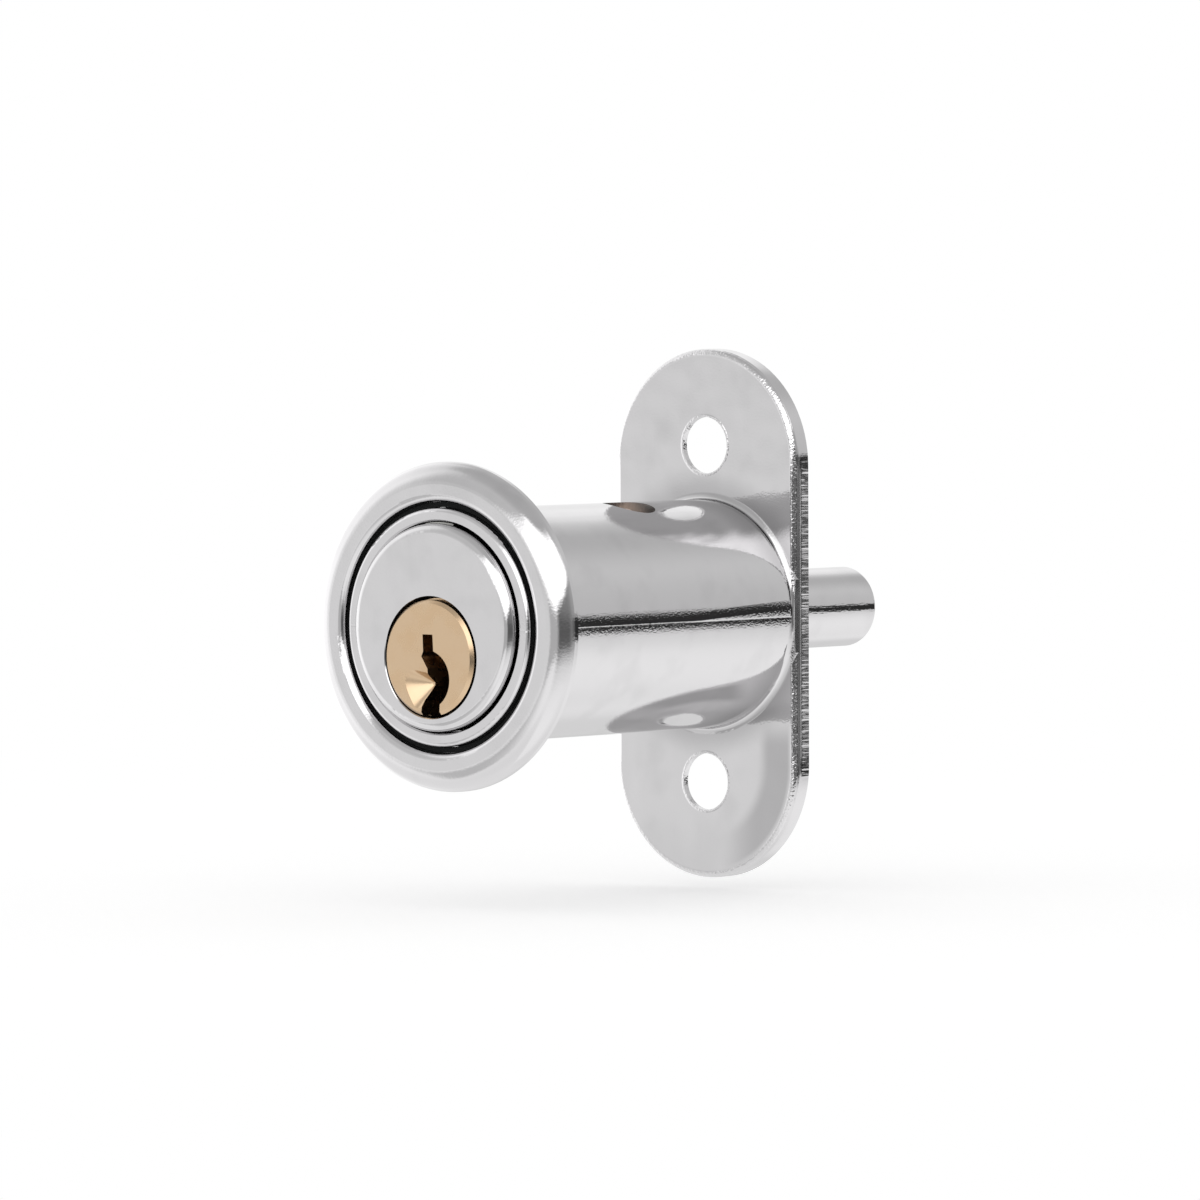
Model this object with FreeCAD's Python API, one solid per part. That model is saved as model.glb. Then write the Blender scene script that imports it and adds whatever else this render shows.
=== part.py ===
# Push lock for a sliding cabinet door.
# A barrel on a two-screw flange holds a sprung plunger. The plunger carries the key cylinder in
# its front and the round bolt behind, and a detent holds it pushed in until the key is turned.
# The origin lies on the lock axis, in the flange face that bears on the door. The bolt points to
# +Y, the key side faces -Y, and the flange stands along Z.
import FreeCAD, Part
import math
import os

Vector = FreeCAD.Vector

# Driving dimensions in millimetres and degrees
# Clearances
SLIDING_GAP = 0.08
TURNING_GAP = 0.05
PRESSED_GAP = 0.02
PEG_GAP = 0.1

# Barrel and flange
BORE_DIAMETER = 19.6
BORE_RIM_CHAMFER = 0.15
BARREL_WALL = 1.07
BARREL_LENGTH = 38.86
BARREL_FLOOR = 0.5
BARREL_RIM_ROUND = 0.4
BASE_FILLET = 0.66
RING_SEAT_STEP = 0.165
RING_SEAT_MARGIN = 0.16
FLANGE_HEIGHT = 50.3
FLANGE_SIDE_MARGIN = 0.13
FLANGE_THICKNESS = 2.0
FLANGE_EDGE_ROUND = 0.58
SCREW_SPACING = 32.0
SCREW_HOLE_DIAMETER = 5.4
SCREW_LAND = 0.6
COUNTERSINK_STEP = 1.4

# Trim ring and the rubber bush that centres it on the barrel
BUSH_GRIP_GAP = 0.03
BUSH_WALL = 0.5
BUSH_RECESS = 0.9
RING_MOUTH_ROUND = 0.7
RING_FACE_WIDTH = 1.615
RING_SHOULDER_WIDTH = 2.03
RING_CREST_PROUD = 0.1
RING_HEIGHT = 2.2
RING_RIM_EDGE = 0.45
RING_BACK_LIP = 0.2
RING_BACK_LIP_GAP = 0.2
RING_HOLLOW_WALL = 0.8
RING_HOLLOW_DEPTH = 1.0

# Plunger
STROKE = 10.0
PLUNGER_PROUD = 1.0
PLUNGER_NOSE_STEP = 0.12
PLUNGER_NOSE_LENGTH = 3.0
PLUNGER_EDGE_ROUND = 0.85
PLUNGER_TAIL_DIAMETER = 12.0
PLUNGER_TAIL_GAP = 0.5
GUIDE_PIN_DIAMETER = 2.5
GUIDE_GROOVE_DEPTH = 1.5
GUIDE_GROOVE_WALL = 1.7

# Bolt and main spring
BOLT_DIAMETER = 7.65
BOLT_LAND_STEP = 0.175
BOLT_LAND_PAST_FLANGE = 0.2
BOLT_REACH = 19.5
BOLT_TIP_ROUND = 0.5
BOLT_ROOT_WALL = 0.5
CROSS_PIN_DIAMETER = 2.0
SPRING_WIRE = 1.0
SPRING_MEAN_DIAMETER = 15.8
SPRING_LEAST_PITCH = 1.85

# Key cylinder
PLUG_DIAMETER = 11.0
PLUG_DROP = 2.78
PLUG_PROUD = 0.3
PLUG_NOSE_STEP = 0.15
PLUG_NOSE_LENGTH = 1.5
PLUG_FACE_CHAMFER = 0.3
PLUG_BORE_CHAMFER = 0.08
PLUG_RELIEF_RISE = 0.18
PLUG_RELIEF_DEPTH = 1.5
PLUG_END_MARGIN = 1.86
TANG_WIDTH = 4.0
TANG_LENGTH = 1.4
PIN_COUNT = 5
PIN_PITCH = 2.9
FIRST_PIN_SETBACK = 3.36
PIN_DIAMETER = 2.3
PIN_CHAMFER = 0.35
CHAMBER_DEPTH = 6.2
KEY_PIN_SHORTEST = 3.1
KEY_PIN_STEP = 0.45
KEY_PIN_CODES = (1, 3, 0, 4, 2)
DRIVER_PIN_LENGTH = 3.0
TUMBLER_SPRING_WIRE = 0.25
TUMBLER_SPRING_TURNS = 4
COVER_SIDE_MARGIN = 0.5
COVER_THICKNESS = 0.8
COVER_END_MARGIN = 0.8
RETAINER_DIAMETER = 1.6
RETAINER_WALL = 0.89
RETAINER_END_MARGIN = 0.175

# Cam disc and detent
DISC_SIDE_GAP = 0.1
DISC_END_GAP = 0.1
DISC_THICKNESS = 3.4
SCROLL_DEPTH = 1.5
KEY_TURN = 90.0
DETENT_DIAMETER = 3.8
DETENT_TILT = 10.0
DETENT_FRONT_WALL = 0.85
DETENT_BACK_WALL = 0.75
DETENT_SEAT_WALL = 2.52
DETENT_FOOT_GAP = 0.7
DETENT_TRAVEL = 6.0
DETENT_AHEAD = 0.2
DETENT_TIP_BELOW = 0.4
DETENT_HOLE_MARGIN = 0.6
DETENT_TIP_ROUND = 1.2
DETENT_CROWN_LENGTH = 5.35
DETENT_BORE_DIAMETER = 2.4
PEG_DIAMETER = 1.2
PEG_ABOVE_FOOT = 1.3
DETENT_SPRING_WIRE = 0.35
DETENT_SPRING_TURNS = 9

# Points on each quarter turn of a spring where its gap is measured
GAP_POINTS_PER_ARC = 6

# Directions
ALONG = Vector(0, 1, 0)
ACROSS = Vector(1, 0, 0)
UP = Vector(0, 0, 1)
DETENT_WAY = Vector(math.sin(math.radians(DETENT_TILT)), 0, math.cos(math.radians(DETENT_TILT)))

# Radii that follow from the driving dimensions
BORE_RADIUS = BORE_DIAMETER / 2
BARREL_RADIUS = BORE_RADIUS + BARREL_WALL
RING_SEAT_RADIUS = BARREL_RADIUS + RING_SEAT_STEP
BUSH_INNER_RADIUS = RING_SEAT_RADIUS + BUSH_GRIP_GAP
BUSH_OUTER_RADIUS = BUSH_INNER_RADIUS + BUSH_WALL
RING_MOUTH_RADIUS = BUSH_OUTER_RADIUS + PRESSED_GAP
RING_CREST_RADIUS = RING_MOUTH_RADIUS + RING_FACE_WIDTH
RING_RADIUS = RING_CREST_RADIUS + RING_SHOULDER_WIDTH
PLUNGER_RADIUS = BORE_RADIUS - SLIDING_GAP
BOLT_RADIUS = BOLT_DIAMETER / 2
BOLT_LAND_RADIUS = BOLT_RADIUS + BOLT_LAND_STEP
GUIDE_PIN_RADIUS = GUIDE_PIN_DIAMETER / 2
PLUG_RADIUS = PLUG_DIAMETER / 2
PLUG_BORE_RADIUS = PLUG_RADIUS + TURNING_GAP
PIN_RADIUS = PIN_DIAMETER / 2
CHAMBER_RADIUS = PIN_RADIUS + TURNING_GAP
RETAINER_RADIUS = RETAINER_DIAMETER / 2
DETENT_RADIUS = DETENT_DIAMETER / 2
DETENT_PASSAGE_RADIUS = DETENT_RADIUS + TURNING_GAP

# Lengths along the plunger, from its face
LAST_PIN_SETBACK = FIRST_PIN_SETBACK + (PIN_COUNT - 1) * PIN_PITCH
RETAINER_SETBACK = LAST_PIN_SETBACK + CHAMBER_RADIUS + RETAINER_WALL + RETAINER_RADIUS + TURNING_GAP
PLUG_LENGTH = RETAINER_SETBACK + PLUG_END_MARGIN
POCKET_LENGTH = PLUG_LENGTH + DISC_THICKNESS + 2 * DISC_END_GAP
DETENT_SETBACK = POCKET_LENGTH + DETENT_FRONT_WALL + DETENT_PASSAGE_RADIUS
PLUNGER_HEAD_LENGTH = DETENT_SETBACK + DETENT_PASSAGE_RADIUS + DETENT_BACK_WALL

# Places along the lock
BARREL_FRONT = -BARREL_LENGTH
PLUNGER_FRONT = BARREL_FRONT - PLUNGER_PROUD
PLUG_FRONT = PLUNGER_FRONT - PLUG_PROUD
SHOULDER = PLUNGER_FRONT + PLUNGER_HEAD_LENGTH
RING_CREST = BARREL_FRONT - RING_CREST_PROUD
RING_BACK = RING_CREST + RING_HEIGHT
RING_SEAT_END = RING_BACK + RING_SEAT_MARGIN
TAIL_END = -BARREL_FLOOR - PLUNGER_TAIL_GAP
BOLT_ROOT = SHOULDER + BOLT_ROOT_WALL
BOLT_TIP = FLANGE_THICKNESS + BOLT_REACH
CROSS_PIN_PLACE = (BOLT_ROOT + TAIL_END) / 2
GUIDE_PIN_PLACE = SHOULDER - GUIDE_GROOVE_WALL - STROKE - GUIDE_PIN_RADIUS - TURNING_GAP
FIRST_PIN = PLUNGER_FRONT + FIRST_PIN_SETBACK
LAST_PIN = PLUNGER_FRONT + LAST_PIN_SETBACK
RETAINER_PLACE = PLUNGER_FRONT + RETAINER_SETBACK
PLUG_END = PLUNGER_FRONT + PLUG_LENGTH
DISC_FRONT = PLUG_END + DISC_END_GAP
DISC_BACK = DISC_FRONT + DISC_THICKNESS
PLUG_BORE_END = DISC_BACK + DISC_END_GAP
DETENT_PLACE = PLUNGER_FRONT + DETENT_SETBACK
DETENT_HOLE_PLACE = DETENT_PLACE + DETENT_AHEAD

# Heights in the plunger
PLUG_CENTRE = Vector(0, 0, -PLUG_DROP)
SHEAR_LINE = PLUG_RADIUS - PLUG_DROP
DRIVER_FOOT = SHEAR_LINE + TURNING_GAP
COVER_FLOOR = PLUNGER_RADIUS - COVER_THICKNESS
RETAINER_HEIGHT = -PLUG_DROP - PLUG_RADIUS + RETAINER_RADIUS / 2

# Places along the detent, from the lock axis outwards
DETENT_REACH = BARREL_RADIUS - DETENT_TIP_BELOW
DETENT_BORE_END = DETENT_REACH - DETENT_CROWN_LENGTH
DETENT_SEAT = DETENT_SEAT_WALL - PLUNGER_RADIUS
DETENT_FOOT = DETENT_SEAT + DETENT_FOOT_GAP + DETENT_TRAVEL
PEG_HEIGHT = DETENT_FOOT + PEG_ABOVE_FOOT
DETENT_RATE = DETENT_TRAVEL / STROKE


def rod(radius, start, end, centre=Vector(0, 0, 0)):
    """Cylinder along the lock axis between two places."""
    base = Vector(centre.x, start, centre.z)
    return Part.makeCylinder(radius, end - start, base, ALONG)


def cross_rod(radius, left, right, y, z):
    """Cylinder across the lock, along X."""
    return Part.makeCylinder(radius, right - left, Vector(left, y, z), ACROSS)


def upright_rod(radius, bottom, top, y):
    """Cylinder along Z on the lock's middle plane."""
    return Part.makeCylinder(radius, top - bottom, Vector(0, y, bottom), UP)


def block(left, right, front, back, bottom, top):
    """Box between six planes."""
    corner = Vector(left, front, bottom)
    return Part.makeBox(right - left, back - front, top - bottom, corner)


def turned(outline, axis_point=Vector(0, 0, 0)):
    """Ring or disc turned on the lock axis from an outline of (radius, place) points.

    A pair is a straight run to that point, and a pair of pairs is an arc through the first to
    the second.
    """
    def at(pair):
        return Vector(pair[0], pair[1], 0) + axis_point

    here = at(outline[0])
    edges = []
    for step in list(outline[1:]) + [outline[0]]:
        if isinstance(step[0], tuple):
            there = at(step[1])
            edges.append(Part.Arc(here, at(step[0]), there).toShape())
        else:
            there = at(step)
            edges.append(Part.LineSegment(here, there).toShape())
        here = there
    return Part.Face(Part.Wire(edges)).revolve(axis_point, ALONG, 360)


def rims(solid, radius, y):
    """Circular edges of one radius in the plane at y."""
    found = []
    for edge in solid.Edges:
        curve = edge.Curve
        if isinstance(curve, Part.Circle) and abs(curve.Radius - radius) < 1e-6:
            if abs(curve.Center.y - y) < 1e-6:
                found.append(edge)
    return found


def outline_edges(solid, y):
    """Edges that lie wholly in the plane at y."""
    return [e for e in solid.Edges if abs(e.BoundBox.YMin - y) + abs(e.BoundBox.YMax - y) < 1e-5]


def slotted(radius, start, end, way, depth_way, depth):
    """Round-ended slot from start to end, cut along depth_way."""
    side = way.cross(depth_way).normalize()
    half = side * radius
    corners = [start + half, end + half, end - half, start - half, start + half]
    middle = Part.Face(Part.makePolygon(corners)).extrude(depth_way * depth)
    round_start = Part.makeCylinder(radius, depth, start, depth_way)
    round_end = Part.makeCylinder(radius, depth, end, depth_way)
    return middle.fuse([round_start, round_end]).removeSplitter()


def corner_arc(start, corner, end):
    """Arc tangent to both legs of a corner whose legs are equally long."""
    middle = (start + end) * 0.5
    leg = (corner - start).Length
    half_chord = (end - start).Length / 2
    rise = (middle - corner).Length
    top = corner + (middle - corner) * (leg * (leg - half_chord) / rise**2)
    return Part.Arc(start, top, end).toShape()


def half_turn(start, start_way, end, end_way):
    """Two arcs that leave start and reach end in the given directions."""
    chord = end - start
    bend = 2 * (1 - start_way.dot(end_way))
    reach = chord.dot(start_way + end_way)
    leg = (math.sqrt(reach**2 + bend * chord.dot(chord)) - reach) / bend
    first = start + start_way * leg
    second = end - end_way * leg
    joint = (first + second) * 0.5
    return [corner_arc(start, first, joint), corner_arc(joint, second, end)]


def coil(mean_radius, wire, turns, foot, way, length):
    """Open compression spring of round wire, standing on foot and filling length along way."""
    rise = length - wire
    pitch = rise / turns
    points = []
    ways = []
    for step in range(2 * turns + 1):
        angle = math.pi * step
        place = Vector(math.cos(angle) * mean_radius, 0, wire / 2 + pitch * step / 2)
        run = Vector(0, 2 * math.pi * mean_radius * math.cos(angle), pitch)
        points.append(place)
        ways.append(run.normalize())
    arcs = []
    for step in range(2 * turns):
        arcs += half_turn(points[step], ways[step], points[step + 1], ways[step + 1])
    section = Part.Wire([Part.Circle(points[0], ways[0], wire / 2).toShape()])
    pipe = Part.BRepOffsetAPI.MakePipeShell(Part.Wire(arcs))
    pipe.add(section)
    pipe.build()
    pipe.makeSolid()
    spring = pipe.shape()
    spring.Placement = FreeCAD.Placement(foot, FreeCAD.Rotation(UP, way))
    return spring, least_gap(arcs, wire)


def least_gap(arcs, wire):
    """Least clear distance from one turn of the wire to another, measured between points on it."""
    half_turn_points = 2 * GAP_POINTS_PER_ARC
    points = []
    for arc in arcs:
        points += arc.discretize(Number=GAP_POINTS_PER_ARC + 1)[:-1]
    gaps = []
    for index, point in enumerate(points):
        for other in points[index + half_turn_points + 1:]:
            gaps.append(point.distanceToPoint(other) - wire)
    return min(gaps)


def stadium_plate(height, width, front, back):
    """Plate with two straight sides and half-round ends."""
    radius = width / 2
    centre = height / 2 - radius
    top = rod(radius, front, back, Vector(0, 0, centre))
    bottom = rod(radius, front, back, Vector(0, 0, -centre))
    middle = block(-radius, radius, front, back, -centre, centre)
    return middle.fuse([top, bottom]).removeSplitter()


def base_flare(plate):
    """Fillet where the barrel meets the flange, trimmed at the flange's sides."""
    outer = BARREL_RADIUS + BASE_FILLET
    deep = FLANGE_THICKNESS / 2
    nook = BASE_FILLET * (1 - math.sqrt(0.5))
    outline = [
        (BORE_RADIUS, -BASE_FILLET),
        (BARREL_RADIUS, -BASE_FILLET),
        ((BARREL_RADIUS + nook, -nook), (outer, 0)),
        (outer, deep),
        (BORE_RADIUS, deep),
    ]
    return turned(outline).common(plate)


def housing():
    """Die-cast barrel and flange in one piece."""
    deep = FLANGE_THICKNESS / 2
    width = 2 * (BARREL_RADIUS + FLANGE_SIDE_MARGIN)
    flange = stadium_plate(FLANGE_HEIGHT, width, 0, FLANGE_THICKNESS)
    flange = flange.makeFillet(FLANGE_EDGE_ROUND, outline_edges(flange, 0))
    envelope = stadium_plate(FLANGE_HEIGHT, width, -BASE_FILLET, FLANGE_THICKNESS)
    barrel = rod(BARREL_RADIUS, BARREL_FRONT, deep)
    seat = rod(RING_SEAT_RADIUS, BARREL_FRONT, RING_SEAT_END)
    seat = seat.makeFillet(BARREL_RIM_ROUND, rims(seat, RING_SEAT_RADIUS, BARREL_FRONT))
    seat_room = rod(RING_RADIUS, BARREL_FRONT, RING_SEAT_END)
    solid = seat.fuse([barrel.cut(seat_room), base_flare(envelope), flange])
    solid = solid.cut(barrel_bore())
    solid = solid.cut(rod(BOLT_LAND_RADIUS + SLIDING_GAP, -BARREL_FLOOR, FLANGE_THICKNESS))
    for side in (-1, 1):
        solid = solid.cut(screw_hole(side * SCREW_SPACING / 2))
    hole_radius = DETENT_RADIUS + DETENT_HOLE_MARGIN
    hole_base = ALONG * DETENT_HOLE_PLACE
    solid = solid.cut(Part.makeCylinder(hole_radius, RING_RADIUS, hole_base, DETENT_WAY))
    return solid.cut(guide_pin_hole()).removeSplitter()


def barrel_bore():
    """Bore of the barrel with its chamfered mouth."""
    mouth = BORE_RADIUS + BORE_RIM_CHAMFER
    outline = [
        (0, BARREL_FRONT),
        (mouth, BARREL_FRONT),
        (BORE_RADIUS, BARREL_FRONT + BORE_RIM_CHAMFER),
        (BORE_RADIUS, -BARREL_FLOOR),
        (0, -BARREL_FLOOR),
    ]
    return turned(outline)


def screw_hole(z):
    """Screw hole, plain at the door face and countersunk from the other side."""
    radius = SCREW_HOLE_DIAMETER / 2
    outline = [
        (0, 0),
        (radius, 0),
        (radius, SCREW_LAND),
        (radius + COUNTERSINK_STEP, FLANGE_THICKNESS),
        (0, FLANGE_THICKNESS),
    ]
    return turned(outline, Vector(0, 0, z))


def guide_pin_hole():
    """Hole for the guide pin in the side of the barrel away from the detent."""
    radius = GUIDE_PIN_RADIUS + PRESSED_GAP
    return cross_rod(radius, -RING_RADIUS, -BORE_RADIUS / 2, GUIDE_PIN_PLACE, 0)


def guide_pin():
    """Pin in the barrel wall that runs in the plunger's groove and stops it."""
    inner = -(PLUNGER_RADIUS - GUIDE_GROOVE_DEPTH + TURNING_GAP)
    pin = cross_rod(GUIDE_PIN_RADIUS, -BARREL_RADIUS, inner, GUIDE_PIN_PLACE, 0)
    return pin.common(rod(BARREL_RADIUS, BARREL_FRONT, 0))


def rosette():
    """Cast trim ring that covers the edge of the hole in the door."""
    back = RING_BACK
    crest = RING_CREST
    mouth = RING_MOUTH_RADIUS
    lip = RING_SEAT_RADIUS + RING_BACK_LIP_GAP
    rim_front = back - RING_RIM_EDGE
    half_sweep = math.atan2(rim_front - crest, RING_SHOULDER_WIDTH)
    arc_radius = RING_SHOULDER_WIDTH / math.sin(2 * half_sweep)
    nook = RING_MOUTH_ROUND * (1 - math.sqrt(0.5))
    shoulder_point = (
        RING_CREST_RADIUS + arc_radius * math.sin(half_sweep),
        crest + arc_radius * (1 - math.cos(half_sweep)),
    )
    hollow_inner = mouth + RING_HOLLOW_WALL
    hollow_outer = RING_RADIUS - RING_HOLLOW_WALL
    outline = [
        (lip, back),
        (lip, back - RING_BACK_LIP),
        (mouth, back - RING_BACK_LIP),
        (mouth, crest + RING_MOUTH_ROUND),
        ((mouth + nook, crest + nook), (mouth + RING_MOUTH_ROUND, crest)),
        (RING_CREST_RADIUS, crest),
        (shoulder_point, (RING_RADIUS, rim_front)),
        (RING_RADIUS, back),
        (hollow_outer, back),
        (hollow_outer - RING_HOLLOW_WALL, back - RING_HOLLOW_DEPTH),
        (hollow_inner, back - RING_HOLLOW_DEPTH),
        (hollow_inner, back),
    ]
    return turned(outline)


def rosette_bush():
    """Rubber bush between the trim ring and the barrel."""
    front = BARREL_FRONT + BUSH_RECESS
    end = RING_BACK - RING_BACK_LIP - PRESSED_GAP
    inner = BUSH_INNER_RADIUS
    outer = BUSH_OUTER_RADIUS
    return turned([(inner, front), (outer, front), (outer, end), (inner, end)])


def plunger_body():
    """Plunger casting with its bores for the cylinder, the pins, the detent and the bolt."""
    nose_radius = PLUNGER_RADIUS - PLUNGER_NOSE_STEP
    nose_end = PLUNGER_FRONT + PLUNGER_NOSE_LENGTH
    nose = rod(nose_radius, PLUNGER_FRONT, nose_end)
    nose = nose.makeFillet(PLUNGER_EDGE_ROUND, rims(nose, nose_radius, PLUNGER_FRONT))
    head = rod(PLUNGER_RADIUS, nose_end, SHOULDER)
    tail = rod(PLUNGER_TAIL_DIAMETER / 2, SHOULDER, TAIL_END)
    solid = head.fuse([nose, tail])
    cuts = [plug_bore(), plug_relief(), cover_groove(), retainer_hole(), guide_groove(), bolt_socket()]
    cuts += [chamber(place, SHEAR_LINE, COVER_FLOOR + TURNING_GAP) for place in pin_places()]
    cuts += [detent_bore(), peg_slot(), cross_pin_hole()]
    for cut in cuts:
        solid = solid.cut(cut)
    return solid.removeSplitter()


def plug_bore():
    """Bore that the plug and the cam disc turn in."""
    mouth = PLUG_BORE_RADIUS + PLUG_BORE_CHAMFER
    outline = [
        (0, PLUNGER_FRONT),
        (mouth, PLUNGER_FRONT),
        (PLUG_BORE_RADIUS, PLUNGER_FRONT + PLUG_BORE_CHAMFER),
        (PLUG_BORE_RADIUS, PLUG_BORE_END),
        (0, PLUG_BORE_END),
    ]
    return turned(outline, PLUG_CENTRE)


def plug_relief():
    """Mouth of the plug's bore, set a little higher so that the gap is widest over the plug."""
    depth_end = PLUNGER_FRONT + PLUG_RELIEF_DEPTH
    return rod(PLUG_BORE_RADIUS, PLUNGER_FRONT, depth_end, PLUG_CENTRE + UP * PLUG_RELIEF_RISE)


def pin_places():
    """Places of the pin stacks along the lock."""
    return [FIRST_PIN + PIN_PITCH * index for index in range(PIN_COUNT)]


def chamber(place, bottom, top):
    """Upright hole for one pin stack."""
    return upright_rod(CHAMBER_RADIUS, bottom - CHAMBER_RADIUS, top, place)


def cover_groove():
    """Groove along the top of the plunger for the strip that closes the pin chambers."""
    half = CHAMBER_RADIUS + COVER_SIDE_MARGIN
    front = FIRST_PIN - CHAMBER_RADIUS - COVER_END_MARGIN
    back = LAST_PIN + CHAMBER_RADIUS + COVER_END_MARGIN
    return block(-half, half, front, back, COVER_FLOOR, BORE_RADIUS)


def chamber_cover():
    """Brass strip that holds the pin springs down, curved with the plunger."""
    groove = cover_groove().BoundBox
    half = groove.XMax - PRESSED_GAP
    front = groove.YMin + PRESSED_GAP
    back = groove.YMax - PRESSED_GAP
    strip = block(-half, half, front, back, COVER_FLOOR, BORE_RADIUS)
    return strip.common(rod(PLUNGER_RADIUS - PRESSED_GAP, front, back))


def retainer_hole():
    """Cross hole for the pin that holds the plug in."""
    radius = RETAINER_RADIUS + PRESSED_GAP
    return cross_rod(radius, -BORE_RADIUS, BORE_RADIUS, RETAINER_PLACE, RETAINER_HEIGHT)


def plug_retaining_pin():
    """Pin across the plunger, in the ring groove of the plug."""
    lowest = RETAINER_HEIGHT - RETAINER_RADIUS
    half = math.sqrt(PLUNGER_RADIUS**2 - lowest**2) - RETAINER_END_MARGIN
    return cross_rod(RETAINER_RADIUS, -half, half, RETAINER_PLACE, RETAINER_HEIGHT)


def guide_groove():
    """Groove in the side of the plunger, as long as the stroke, for the guide pin."""
    radius = GUIDE_PIN_RADIUS + TURNING_GAP
    start = Vector(-BORE_RADIUS, GUIDE_PIN_PLACE, 0)
    end = start + ALONG * STROKE
    return slotted(radius, start, end, ALONG, ACROSS, GUIDE_GROOVE_DEPTH + SLIDING_GAP)


def bolt_socket():
    """Socket in the plunger's tail for the root of the bolt."""
    return rod(BOLT_LAND_RADIUS + PRESSED_GAP, BOLT_ROOT, TAIL_END)


def cross_pin_hole():
    """Hole through the tail and the bolt for the pin that joins them."""
    half = PLUNGER_TAIL_DIAMETER / 2 + PRESSED_GAP
    return cross_rod(CROSS_PIN_DIAMETER / 2 + PRESSED_GAP, -half, half, CROSS_PIN_PLACE, 0)


def detent_bore():
    """Passage through the plunger for the detent and its spring."""
    base = DETENT_WAY * DETENT_SEAT + ALONG * DETENT_PLACE
    return Part.makeCylinder(DETENT_PASSAGE_RADIUS, BORE_DIAMETER, base, DETENT_WAY)


def peg_slot():
    """Slot between the cam pocket and the detent's passage, as long as the detent's travel."""
    high = DETENT_WAY * PEG_HEIGHT + ALONG * PLUG_BORE_END
    low = high - DETENT_WAY * DETENT_TRAVEL
    depth = DETENT_PLACE - PLUG_BORE_END
    return slotted(PEG_DIAMETER / 2 + PEG_GAP, low, high, DETENT_WAY, ALONG, depth)


def bolt():
    """Round bolt with its guide land and the hole for its cross pin."""
    land_end = FLANGE_THICKNESS + BOLT_LAND_PAST_FLANGE
    shank = rod(BOLT_RADIUS, land_end, BOLT_TIP)
    shank = shank.makeFillet(BOLT_TIP_ROUND, rims(shank, BOLT_RADIUS, BOLT_TIP))
    land = rod(BOLT_LAND_RADIUS, BOLT_ROOT, land_end)
    return land.fuse(shank).cut(cross_pin_hole())


def bolt_cross_pin():
    """Pin that holds the bolt in the plunger's tail."""
    half = PLUNGER_TAIL_DIAMETER / 2 - PIN_CHAMFER
    return cross_rod(CROSS_PIN_DIAMETER / 2, -half, half, CROSS_PIN_PLACE, 0)


def main_spring():
    """Spring that pushes the plunger out when the detent lets go."""
    foot = ALONG * (SHOULDER + PRESSED_GAP)
    length = -BARREL_FLOOR - SHOULDER - 2 * PRESSED_GAP
    turns = int((length - SPRING_WIRE) / SPRING_LEAST_PITCH)
    return coil(SPRING_MEAN_DIAMETER / 2, SPRING_WIRE, turns, foot, ALONG, length)


def keyway_outline():
    """Keyway as the front shows it, as (x, z) points from the middle of the plug."""
    top = 2.19
    mouth = -PLUG_RADIUS - TURNING_GAP
    slot_left = (-0.67, top)
    slot_right = (0.53, top)
    ward_low_left = (-0.61, 0.62)
    tooth = (-0.83, 0.14)
    neck_top = (-0.09, -0.95)
    neck_low = (0.01, -2.62)
    heel = (-0.7, -3.9)
    mouth_left = (-0.95, mouth)
    mouth_right = (1.3, mouth)
    belly_low = (1.4, -4.2)
    belly_out = (2.57, -1.95)
    belly_top = (0.63, 0.64)
    return [
        ("line", slot_left, ward_low_left),
        ("line", ward_low_left, tooth),
        ("line", tooth, neck_top),
        ("line", neck_top, neck_low),
        ("line", neck_low, heel),
        ("line", heel, mouth_left),
        ("line", mouth_left, mouth_right),
        ("line", mouth_right, belly_low),
        ("arc", belly_low, belly_out, belly_top),
        ("line", belly_top, slot_right),
        ("line", slot_right, slot_left),
    ]


def keyway():
    """Passage for the key, from the face to just behind the last pin."""
    def at(pair):
        return Vector(pair[0], PLUG_FRONT, pair[1]) + PLUG_CENTRE

    edges = []
    for kind, *points in keyway_outline():
        places = [at(point) for point in points]
        if kind == "arc":
            edges.append(Part.Arc(*places).toShape())
        else:
            edges.append(Part.LineSegment(*places).toShape())
    length = LAST_PIN + CHAMBER_RADIUS - PLUG_FRONT
    return Part.Face(Part.Wire(edges)).extrude(ALONG * length)


def key_lead_in():
    """Smooth tapering hollow beside the keyway that leads the key in."""
    rim = [(-0.3, -1.3), (-1.4, -1.15), (-2.4, -1.3), (-2.75, -1.95), (-2.6, -2.9), (-2.1, -3.85)]
    rim += [(-1.4, -4.6), (-0.6, -4.4), (0.15, -3.6), (0.3, -2.4)]
    deepest = Vector(0, PLUG_FRONT + 1.1, -2.35) + PLUG_CENTRE
    loops = []
    for share in (-0.1, 0.9):
        places = [Vector(x, PLUG_FRONT, z) + PLUG_CENTRE for x, z in rim]
        curve = Part.BSplineCurve()
        curve.interpolate([place + (deepest - place) * share for place in places], PeriodicFlag=True)
        loops.append(Part.Wire(curve.toShape()))
    return Part.makeLoft(loops, True, True)


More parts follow.
